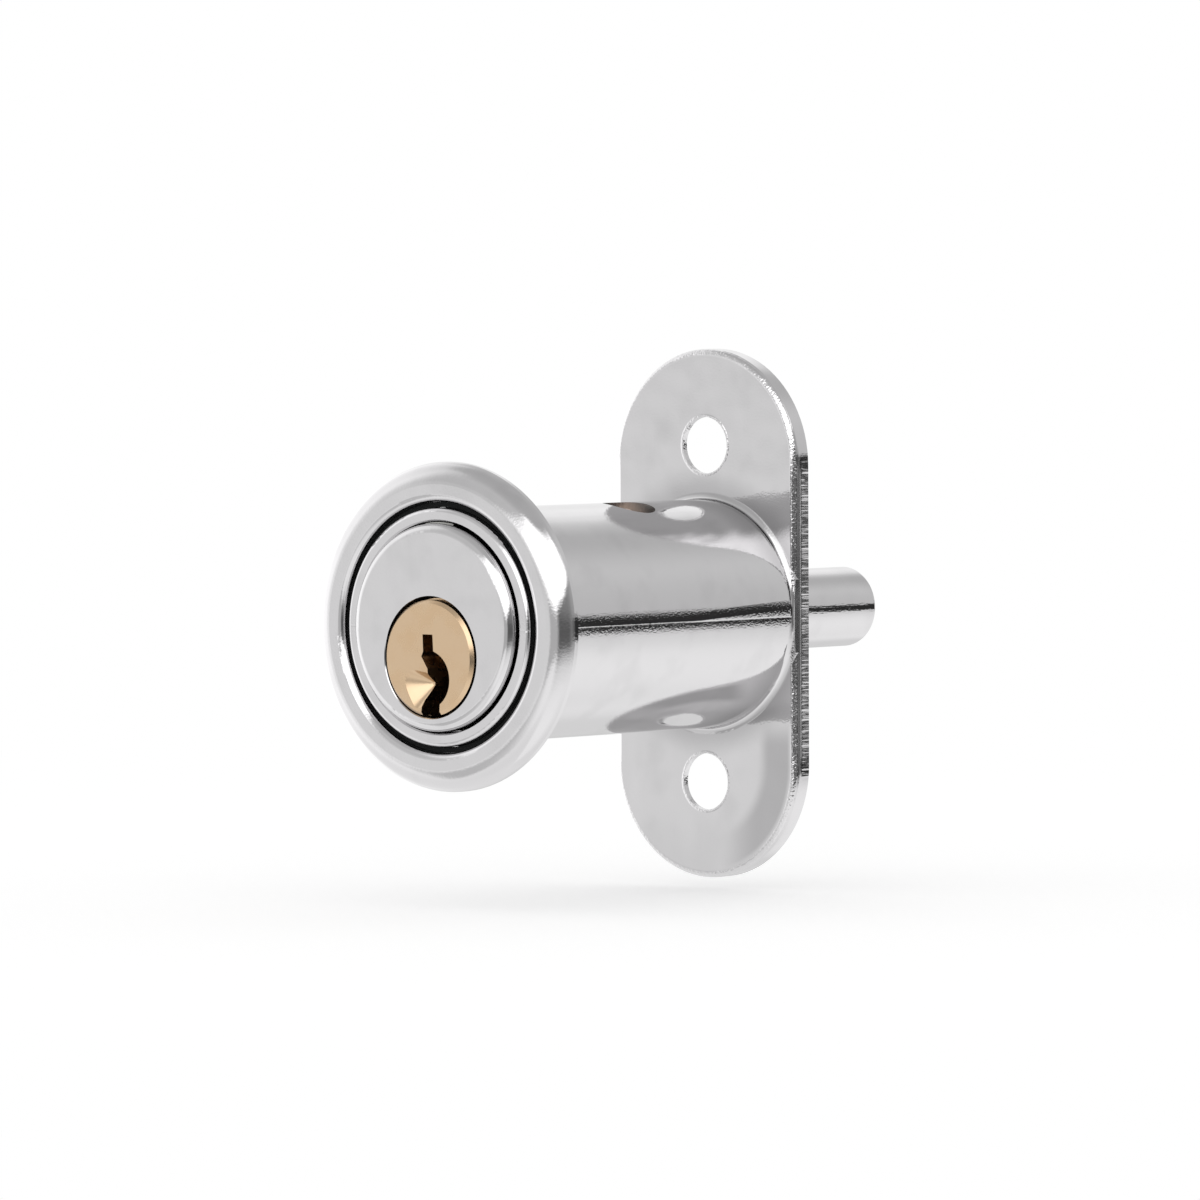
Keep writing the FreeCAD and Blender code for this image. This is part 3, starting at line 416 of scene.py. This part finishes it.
def housing_chrome(look, marks):
    """Bright chrome plate on the zinc casting of the barrel and its flange.

    The eye sees a mirror with the casting's own marks under it: streaks and a trimmed seam along the
    barrel's sides, coarse grain on the flange's edges, and torn lines across its side walls. The
    hole for the detent is bare and dull inside.
    """
    material, tree, output = new_material("chrome of the housing")
    place, x, y, z = in_millimetres(tree)
    level = number(tree, "ABSOLUTE", z)
    reach = span(tree, x, past(tree, level, FLANGE_END_CENTRE))
    on_barrel = rise(tree, y, *BARREL_ALONG)
    on_flange = rise(tree, y, *FLANGE_ALONG)
    on_face = both(tree, on_flange, rise(tree, y, *FACE_ALONG))
    wall = rise(tree, reach, *WALL_OUTWARD)
    straight = both(tree, rise(tree, level, *STRAIGHT_WALL), on_flange)

    # Edges and walls of the flange
    edge = both(tree, rise(tree, reach, *EDGE_INSIDE), rise(tree, reach, *EDGE_OUTSIDE), on_face)
    from_screw = span(tree, x, number(tree, "SUBTRACT", level, SCREW_PLACE))
    edge_or_hole = number(tree, "MAXIMUM", edge, rise(tree, from_screw, *SCREW_HOLE_RIM))
    coarse = both(tree, grain(tree, place, marks.edge_grain / MM, marks.edge_depth / MM, detail=1.0),
                  edge_or_hole, on_flange)
    torn = both(tree, grain(tree, place, marks.tear_width / MM, marks.tear_depth / MM, TEAR_STRETCH,
                            detail=1.0),
                wall, rise(tree, y, *TORN_ALONG), straight)
    wall_fall = both(tree, fall(tree, y, *WALL_FALL), wall, straight)
    edge_fall = both(tree, fall(tree, reach, *EDGE_FALL), rise(tree, y, *ROUNDED_ALONG), straight)

    # Streaks and seam of the barrel
    streaks = both(tree, grain(tree, place, marks.streak_width / MM, marks.streak_depth / MM,
                               BARREL_STREAK_STRETCH, detail=1.0),
                   rise(tree, level, *BARREL_STREAKS), on_barrel)
    seam_width = number(tree, "MULTIPLY", past(tree, y, SEAM_WIDENS_FROM), SEAM_WIDENING)
    over_seam = past(tree, z, SEAM_LOWER_EDGE)
    trimmed = number(tree, "MULTIPLY", number(tree, "MINIMUM", over_seam, seam_width), marks.trim_slope)
    fade = fall(tree, over_seam, seam_width, SEAM_FADE_HEIGHT, SEAM_FADE_SHARE * marks.trim_slope)
    from_line = number(tree, "ABSOLUTE", number(tree, "SUBTRACT", z, SEAM_LINE_HEIGHT))
    line = number(tree, "MULTIPLY", rise(tree, from_line, *SEAM_LINE_WIDTH), SEAM_LINE_DEPTH)
    seam = both(tree, total(tree, trimmed, line, both(tree, fade, rise(tree, y, *SEAM_FADE_ALONG))),
                on_barrel)
    height = total(tree, peel(tree, place, look), coarse, torn, wall_fall, edge_fall, streaks, seam,
                   both(tree, ripple(tree, place, look), on_flange))

    # Darker areas of the flange's face: a painted dark reflection, the darker lower end, painted shade round
    # the barrel
    colour, roughness = handled(tree, place, look)
    from_axis = span(tree, x, z)
    darker_areas = (
        (LOWER_END_SHARE, [rise(tree, z, *LOWER_END_DOWN)]),
        # painted dark reflection low on the right of the face
        (PAINTED_REFLECTION_SHARE, [rise(tree, reach, *PAINTED_REFLECTION_INSIDE), rise(tree, reach, *PAINTED_REFLECTION_OUTSIDE),
                         rise(tree, x, *PAINTED_REFLECTION_ACROSS), rise(tree, z, *PAINTED_REFLECTION_DOWN)]),
        # painted shade close round the barrel
        (PAINTED_SHADE_ROUND_BARREL_SHARE, [rise(tree, from_axis, *PAINTED_SHADE_ROUND_BARREL)]),
    )
    for share, masks in darker_areas:
        colour = paint_over(tree, colour, dimmed(look.colour, share), both(tree, *masks, on_face))

    # Painted shade as a dark rough film in the mouth of the bore, the detent's bare hole, and the wall's
    # rougher plate
    gap = both(tree, rise(tree, from_axis, *BORE_GAP_SHADE), rise(tree, y, *BORE_GAP_SHADE_ALONG),
               rise(tree, y, *BORE_GAP_SHADE_ENDS))
    colour, roughness = painted_gap_shade(tree, colour, roughness, gap)
    across = total(tree, number(tree, "MULTIPLY", x, math.cos(DETENT_TILT)),
                   number(tree, "MULTIPLY", z, -math.sin(DETENT_TILT)))
    from_detent = span(tree, across, number(tree, "SUBTRACT", y, DETENT_HOLE_PLACE))
    in_hole = both(tree, rise(tree, from_detent, *HOLE_WALL), rise(tree, z, *HOLE_HEIGHT))
    colour = paint_over(tree, colour, linear(HOLE_COLOUR), in_hole)
    roughness = rougher(tree, roughness, HOLE_ROUGHNESS, in_hole)
    roughness = rougher(tree, roughness, WALL_ROUGHNESS, both(tree, wall, straight))
    metal(tree, output, colour, roughness, height)
    return material


def turned_brass(name, look, axis_height):
    """Brass turned on a lathe and lightly polished, in rings round an axis at this height.

    The eye sees a soft satin shine, a little uneven, with the faintest rings. They are drawn coarser
    than the tool's real feed, because that would be too fine to show.
    """
    material, tree, output = new_material(name)
    place, x, _, z = in_millimetres(tree)
    radius = span(tree, x, number(tree, "SUBTRACT", z, axis_height))
    ring = number(tree, "SINE", number(tree, "MULTIPLY", radius, 2 * math.pi * MM / look.turning_pitch))
    height = total(tree, number(tree, "MULTIPLY", ring, look.turning_depth / MM),
                   grain(tree, place, *BRASS_GRAIN))
    dull = rise(tree, noise(tree, place, BRASS_CLOUD_SIZE, BRASS_CLOUD_DETAIL), *BRASS_CLOUD_SPAN)
    warmer = (*(part * share for part, share in zip(look.colour, BRASS_CLOUD_TINT)), 1.0)
    colour = paint_over(tree, tuple(look.colour), warmer, dull)
    metal(tree, output, colour, rougher(tree, look.roughness, BRASS_CLOUD_ROUGHNESS, dull), height)
    return material


def steel(name, look, stretch):
    """Ground or drawn steel.

    The eye sees a grey satin metal with fine lines from the die or the wheel.
    """
    material = bpy.data.materials.get(name)
    if material:
        return material
    material, tree, output = new_material(name)
    place = in_millimetres(tree)[0]
    roughness = rougher(tree, look.roughness, STEEL_CLOUD_ROUGHNESS,
                        noise(tree, place, STEEL_CLOUD_SIZE, 2.0))
    metal(tree, output, tuple(look.colour), roughness, grain(tree, place, *STEEL_LINES, stretch))
    return material


def bush_rubber_and_gap_shade(look):
    """Moulded black nitrile rubber, which also stands in as painted shade of the deep gap between the trim
    ring and the barrel.

    The eye sees a deep black ring with hardly any sheen.
    """
    material, tree, output = new_material("moulded black rubber and painted gap shade")
    place = in_millimetres(tree)[0]
    bump = add(tree, "ShaderNodeBump", Height=grain(tree, place, *RUBBER_GRAIN), Distance=MM, Strength=1.0)
    dusty = paint_over(tree, tuple(look.colour), linear(RUBBER_DUST_COLOUR),
                       grain(tree, place, *RUBBER_DUST))
    shader = add(tree, "ShaderNodeBsdfPrincipled", Base_Color=dusty, Roughness=look.roughness,
                 Specular_IOR_Level=RUBBER_SPECULAR, Normal=bump.outputs["Normal"])
    tree.links.new(shader.outputs["BSDF"], output.inputs["Surface"])
    return material


def colour_property(name, description, colour):
    return bpy.props.FloatVectorProperty(name=name, description=description, subtype="COLOR", size=4,
                                         min=0.0, max=1.0, default=linear(colour))


def length_property(name, description, millimetres):
    return bpy.props.FloatProperty(name=name, description=description, subtype="DISTANCE", unit="LENGTH",
                                   min=0.0, precision=6, default=millimetres * MM)


def share_property(name, description, share):
    return bpy.props.FloatProperty(name=name, description=description, subtype="FACTOR", min=0.0, max=1.0,
                                   default=share)


def angle_property(name, description, degrees):
    return bpy.props.FloatProperty(name=name, description=description, subtype="ANGLE", unit="ROTATION",
                                   default=math.radians(degrees))


class ChromeLook(bpy.types.PropertyGroup):
    colour: colour_property("Chrome colour", "Colour of the chrome plate", "#C8C7C8")
    roughness: share_property("Chrome roughness", "Roughness of clean chrome", 0.045)
    peel_grain: length_property("Peel grain", "Size of the bumps of the orange peel", 0.22)
    peel_depth: length_property("Peel depth", "Depth of the orange peel", 0.004)
    ripple_grain: length_property("Ripple size", "Size of the slow waves left by polishing", 5.0)
    ripple_depth: length_property("Ripple depth", "Depth of the slow waves", 0.12)


class CastingMarks(bpy.types.PropertyGroup):
    streak_width: length_property("Streak width", "Width of the streaks along the barrel's sides", 0.15)
    streak_depth: length_property("Streak depth", "Depth of the streaks along the barrel's sides", 0.01)
    trim_slope: share_property("Trim slope", "Slope of the flat where the casting's seam is trimmed", 0.08)
    edge_grain: length_property("Edge grain", "Grain size on the flange's edges", 0.25)
    edge_depth: length_property("Edge depth", "Depth of the grain on the flange's edges", 0.06)
    tear_width: length_property("Tear width", "Width of the lines across the flange's side walls", 0.36)
    tear_depth: length_property("Tear depth", "Depth of the lines across the flange's side walls", 0.085)


class BrassLook(bpy.types.PropertyGroup):
    colour: colour_property("Brass colour", "Colour of the plug's brass", "#C7AE90")
    roughness: share_property("Brass roughness", "Roughness of the brass", 0.24)
    turning_pitch: length_property("Turning pitch", "Distance between the lathe's rings", 0.14)
    turning_depth: length_property("Turning depth", "Depth of the lathe's rings", 0.0004)


class DetentBrassWithPaintedHighlight(bpy.types.PropertyGroup):
    # lighter and pinker than the plug's brass: the detent's own brass, lightened as a painted highlight
    colour: colour_property("Detent colour", "Colour of the detent's brass", "#E3CBBB")
    roughness: share_property("Detent roughness", "Roughness of the detent", 0.35)
    turning_pitch: length_property("Turning pitch", "Distance between the lathe's rings", 0.2)
    turning_depth: length_property("Turning depth", "Depth of the lathe's rings", 0.001)


class SteelLook(bpy.types.PropertyGroup):
    colour: colour_property("Steel colour", "Colour of the pins and springs", "#A4A4A1")
    roughness: share_property("Steel roughness", "Roughness of the pins and springs", 0.25)


class BushRubberAndGapShade(bpy.types.PropertyGroup):
    # near black: the bush's own rubber, and painted shade of the deep gap round the barrel
    colour: colour_property("Rubber colour", "Colour of the bush", "#060808")
    roughness: share_property("Rubber roughness", "Roughness of the bush", 0.8)


class StudioLook(bpy.types.PropertyGroup):
    floor_colour: colour_property("Floor colour", "Colour of the floor", "#F7F7F7")
    floor_drop: length_property("Floor drop", "How far the floor lies below the lock's axis", 26.2)
    camera_distance: length_property("Camera distance", "Distance from the camera to the lock", 909.06)
    camera_azimuth: angle_property(
        "Camera azimuth", "Angle of the camera to the right of the key side", 40.018)
    camera_elevation: angle_property("Camera elevation", "Angle of the camera above the lock", 2.24)
    camera_roll: angle_property("Camera roll", "Tilt of the camera about its line of sight", -0.212)


class PUSHLOCK_OT_housing(bpy.types.Operator):
    """Finishes the barrel with its flange, and the guide pin in it"""
    bl_idname = "pushlock.housing"
    bl_label = "Housing"

    def execute(self, context):
        scene = context.scene
        dress(["housing"], housing_chrome(scene.push_lock_chrome, scene.push_lock_marks))
        dress(["guide_pin"], steel("ground steel", scene.push_lock_steel, GROUND))
        return {"FINISHED"}


class PUSHLOCK_OT_rosette(bpy.types.Operator):
    """Finishes the trim ring and its rubber bush"""
    bl_idname = "pushlock.rosette"
    bl_label = "Trim ring"

    def execute(self, context):
        scene = context.scene
        dress(["rosette"], ring_chrome(scene.push_lock_chrome))
        # the bush's black rubber is also painted shade of the gap round the barrel
        dress(["rosette_bush"], bush_rubber_and_gap_shade(scene.push_lock_rubber))
        return {"FINISHED"}


class PUSHLOCK_OT_plunger(bpy.types.Operator):
    """Finishes the plunger, its cover strip, its retaining pin and its spring"""
    bl_idname = "pushlock.plunger"
    bl_label = "Plunger"

    def execute(self, context):
        scene = context.scene
        dress(["plunger_body"], plunger_chrome(scene.push_lock_chrome))
        dress(["chamber_cover", "plug_retaining_pin"], steel("ground steel", scene.push_lock_steel, GROUND))
        dress(["main_spring"], steel("drawn spring wire", scene.push_lock_steel, DRAWN))
        return {"FINISHED"}


class PUSHLOCK_OT_plug(bpy.types.Operator):
    """Finishes the brass plug and the cam disc behind it"""
    bl_idname = "pushlock.plug"
    bl_label = "Plug"

    def execute(self, context):
        scene = context.scene
        dress(["plug"], turned_brass("turned brass of the plug", scene.push_lock_brass, -PLUG_DROP))
        dress(["cam_disc"], steel("ground steel", scene.push_lock_steel, GROUND))
        return {"FINISHED"}


class PUSHLOCK_OT_tumblers(bpy.types.Operator):
    """Finishes the key pins, the driver pins and their springs"""
    bl_idname = "pushlock.tumblers"
    bl_label = "Pin stacks"

    def execute(self, context):
        scene = context.scene
        dress(KEY_PINS, turned_brass("turned brass of the pins", scene.push_lock_brass, 0.0))
        dress(DRIVER_PINS, steel("ground steel", scene.push_lock_steel, GROUND))
        dress(TUMBLER_SPRINGS, steel("drawn spring wire", scene.push_lock_steel, DRAWN))
        return {"FINISHED"}


class PUSHLOCK_OT_bolt(bpy.types.Operator):
    """Finishes the round bolt and the cross pin that holds it"""
    bl_idname = "pushlock.bolt"
    bl_label = "Bolt"

    def execute(self, context):
        scene = context.scene
        dress(["bolt"], bolt_chrome(scene.push_lock_chrome, scene.push_lock_marks))
        dress(["bolt_cross_pin"], steel("ground steel", scene.push_lock_steel, GROUND))
        return {"FINISHED"}


class PUSHLOCK_OT_detent(bpy.types.Operator):
    """Finishes the brass detent, its peg and its spring"""
    bl_idname = "pushlock.detent"
    bl_label = "Detent"

    def execute(self, context):
        scene = context.scene
        # the detent's brass is lightened as a painted highlight
        dress(["detent"], turned_brass("turned brass of the detent with painted highlight", scene.push_lock_detent, 0.0))
        dress(["detent_peg"], steel("ground steel", scene.push_lock_steel, GROUND))
        dress(["detent_spring"], steel("drawn spring wire", scene.push_lock_steel, DRAWN))
        return {"FINISHED"}


def profile(tree, height, levels):
    """Brightness that follows the height through these pairs of degrees and level."""
    share = number(tree, "DIVIDE", number(tree, "ADD", height, 90.0), 180.0)
    ramp = add(tree, "ShaderNodeFloatCurve", Value=share)
    curve = ramp.mapping.curves[0]
    places = [((degrees + 90) / 180, level / CURVE_TOP) for degrees, level in levels]
    curve.points[0].location = places[0]
    curve.points[1].location = places[-1]
    for place in places[1:-1]:
        curve.points.new(*place)
    ramp.mapping.update()
    return number(tree, "MULTIPLY", ramp.outputs["Value"], CURVE_TOP)


def lay_over(tree, below, level, masks):
    """Lays a panel of one brightness over what is below it, where all its masks are open."""
    mix = add(tree, "ShaderNodeMix", {"data_type": "FLOAT"}, _0=both(tree, *masks), _2=below, _3=level)
    return mix.outputs["Result"]


def tent_light():
    """White light tent: grey roof, white floor and left wall, a soft box front right, a dark gap under it."""
    material, tree, output = new_material("light tent")
    place = add(tree, "ShaderNodeTexCoord").outputs["Object"]
    away = add(tree, "ShaderNodeVectorMath", {"operation": "NORMALIZE"}, _0=place).outputs["Vector"]
    parts = add(tree, "ShaderNodeSeparateXYZ", Vector=away)
    height = number(tree, "MULTIPLY", number(tree, "ARCSINE", parts.outputs["Z"]), math.degrees(1))
    front = number(tree, "MULTIPLY", parts.outputs["Y"], -1.0)
    side = number(tree, "MULTIPLY", number(tree, "ARCTAN2", parts.outputs["X"], front), math.degrees(1))
    rising = number(tree, "SUBTRACT", number(tree, "MULTIPLY", side, SOFT_BOX_SLOPE), SOFT_BOX_DROP)
    angles = {
        "height": height,
        "side": side,
        "far side": number(tree, "ABSOLUTE", side),
        "slant": number(tree, "SUBTRACT", side, height),
        "above gap": number(tree, "SUBTRACT", height, number(tree, "MAXIMUM", rising, SOFT_BOX_LOWEST)),
    }
    light = profile(tree, height, TENT_LEVELS)
    for level, edges in TENT_PANELS:
        if isinstance(level, tuple):
            level = profile(tree, height, level)
        light = lay_over(tree, light, level,
                         [rise(tree, angles[angle], start, full) for angle, start, full in edges])
    glow = add(tree, "ShaderNodeEmission", Color=(1, 1, 1, 1), Strength=light)
    tree.links.new(glow.outputs["Emission"], output.inputs["Surface"])
    return material


def seen_directly(tree):
    """1 for what the camera sees straight, mirrored or through glass, and 0 for light on a surface."""
    paths = add(tree, "ShaderNodeLightPath")
    seen = number(tree, "MAXIMUM", paths.outputs["Is Camera Ray"], paths.outputs["Is Glossy Ray"])
    return number(tree, "MAXIMUM", seen, paths.outputs["Is Transmission Ray"])


def floor_paint(colour):
    """Plain white floor that keeps a soft shadow and runs out into the white background."""
    material, tree, output = new_material("floor paint")
    metres = add(tree, "ShaderNodeTexCoord").outputs["Object"]
    far = add(tree, "ShaderNodeVectorMath", {"operation": "LENGTH"}, _0=metres).outputs["Value"]
    paint = add(tree, "ShaderNodeBsdfDiffuse", Color=colour)
    lift = add(tree, "ShaderNodeEmission", Color=(1, 1, 1, 1),
               Strength=number(tree, "MULTIPLY", seen_directly(tree), FLOOR_LIFT))
    near = add(tree, "ShaderNodeAddShader", _0=paint.outputs["BSDF"], _1=lift.outputs["Emission"])
    glow = add(tree, "ShaderNodeEmission", Color=(1, 1, 1, 1), Strength=1.0)
    mix = add(tree, "ShaderNodeMixShader", _0=rise(tree, far, *FLOOR_FADE), _1=near.outputs["Shader"],
              _2=glow.outputs["Emission"])
    tree.links.new(mix.outputs["Shader"], output.inputs["Surface"])
    return material


def look_from(azimuth, elevation, roll):
    """Directions right, up and ahead of a camera that looks at the lock from this side."""
    ahead = Vector((-math.sin(azimuth) * math.cos(elevation), math.cos(azimuth) * math.cos(elevation),
                    -math.sin(elevation)))
    level = Vector((math.cos(azimuth), math.sin(azimuth), 0))
    upright = level.cross(ahead)
    right = level * math.cos(roll) + upright * math.sin(roll)
    up = upright * math.cos(roll) - level * math.sin(roll)
    return right, up, ahead


def add_camera(scene, look):
    """Adds the camera, and sets it off sideways so that the lock's origin stands at its pixel."""
    right, up, ahead = look_from(look.camera_azimuth, look.camera_elevation, look.camera_roll)
    half = PICTURE_WIDTH / 2
    across = (half - ORIGIN_PIXEL[0]) / FOCAL_PIXELS * look.camera_distance
    upward = (ORIGIN_PIXEL[1] - half) / FOCAL_PIXELS * look.camera_distance
    data = bpy.data.cameras.new("camera")
    data.sensor_width = SENSOR_WIDTH
    data.lens = FOCAL_PIXELS / PICTURE_WIDTH * SENSOR_WIDTH
    data.clip_start = CLIP_START
    data.clip_end = CLIP_END
    camera = bpy.data.objects.new("camera", data)
    scene.collection.objects.link(camera)
    place = right * across + up * upward - ahead * look.camera_distance
    turn = Matrix((right, up, -ahead)).transposed().to_4x4()
    camera.matrix_world = Matrix.Translation(place) @ turn
    scene.camera = camera


def add_room(scene):
    """Makes the room white to the eye and a little dimmer as a light."""
    world = bpy.data.worlds.new("studio")
    scene.world = world
    world.use_nodes = True
    tree = world.node_tree
    strength = add(tree, "ShaderNodeMix", {"data_type": "FLOAT"}, _0=seen_directly(tree), _2=ROOM_LIGHT,
                   _3=ROOM_WHITE)
    background = tree.nodes["Background"]
    background.inputs["Color"].default_value = (1, 1, 1, 1)
    tree.links.new(strength.outputs["Result"], background.inputs["Strength"])


class PUSHLOCK_OT_stage(bpy.types.Operator):
    """Makes the camera, the floor and the studio light"""
    bl_idname = "pushlock.stage"
    bl_label = "Stage"

    def execute(self, context):
        scene = context.scene
        look = scene.push_lock_studio
        scene.view_settings.view_transform = "Standard"
        add_camera(scene, look)
        add_room(scene)
        bpy.ops.mesh.primitive_uv_sphere_add(segments=TENT_SEGMENTS, ring_count=TENT_RINGS,
                                             radius=TENT_RADIUS, location=(0, 0, 0))
        tent = context.object
        tent.name = "light_tent"
        tent.data.materials.append(tent_light())
        tent.visible_camera = False
        tent.visible_diffuse = False
        tent.visible_shadow = False
        bpy.ops.mesh.primitive_plane_add(size=FLOOR_SIZE, location=(0, 0, -look.floor_drop))
        floor = context.object
        floor.name = "floor"
        floor.data.materials.append(floor_paint(tuple(look.floor_colour)))
        floor.visible_glossy = False
        return {"FINISHED"}


OPERATORS = (PUSHLOCK_OT_housing, PUSHLOCK_OT_rosette, PUSHLOCK_OT_plunger, PUSHLOCK_OT_plug,
             PUSHLOCK_OT_tumblers, PUSHLOCK_OT_bolt, PUSHLOCK_OT_detent, PUSHLOCK_OT_stage)
LOOKS = {
    "push_lock_chrome": ChromeLook,
    "push_lock_marks": CastingMarks,
    "push_lock_brass": BrassLook,
    "push_lock_detent": DetentBrassWithPaintedHighlight,
    "push_lock_steel": SteelLook,
    "push_lock_rubber": BushRubberAndGapShade,
    "push_lock_studio": StudioLook,
}


class PUSHLOCK_PT_panel(bpy.types.Panel):
    """Lists the steps that finish the lock and set its stage"""
    bl_idname = "PUSHLOCK_PT_panel"
    bl_label = "Push lock"
    bl_space_type = "VIEW_3D"
    bl_region_type = "UI"
    bl_category = "Push lock"

    def draw(self, context):
        for operator in OPERATORS:
            self.layout.operator(operator.bl_idname)


def register():
    for cls in (*LOOKS.values(), *OPERATORS, PUSHLOCK_PT_panel):
        bpy.utils.register_class(cls)
    for name, group in LOOKS.items():
        setattr(bpy.types.Scene, name, bpy.props.PointerProperty(type=group))


def unregister():
    for name in LOOKS:
        delattr(bpy.types.Scene, name)
    for cls in (PUSHLOCK_PT_panel, *reversed(OPERATORS), *reversed(LOOKS.values())):
        bpy.utils.unregister_class(cls)


def main():
    register()
    bpy.ops.object.select_all(action="DESELECT")
    bpy.ops.pushlock.housing()
    bpy.ops.pushlock.rosette()
    bpy.ops.pushlock.plunger()
    bpy.ops.pushlock.plug()
    bpy.ops.pushlock.tumblers()
    bpy.ops.pushlock.bolt()
    bpy.ops.pushlock.detent()
    bpy.ops.pushlock.stage()


if __name__ == "__main__":
    main()
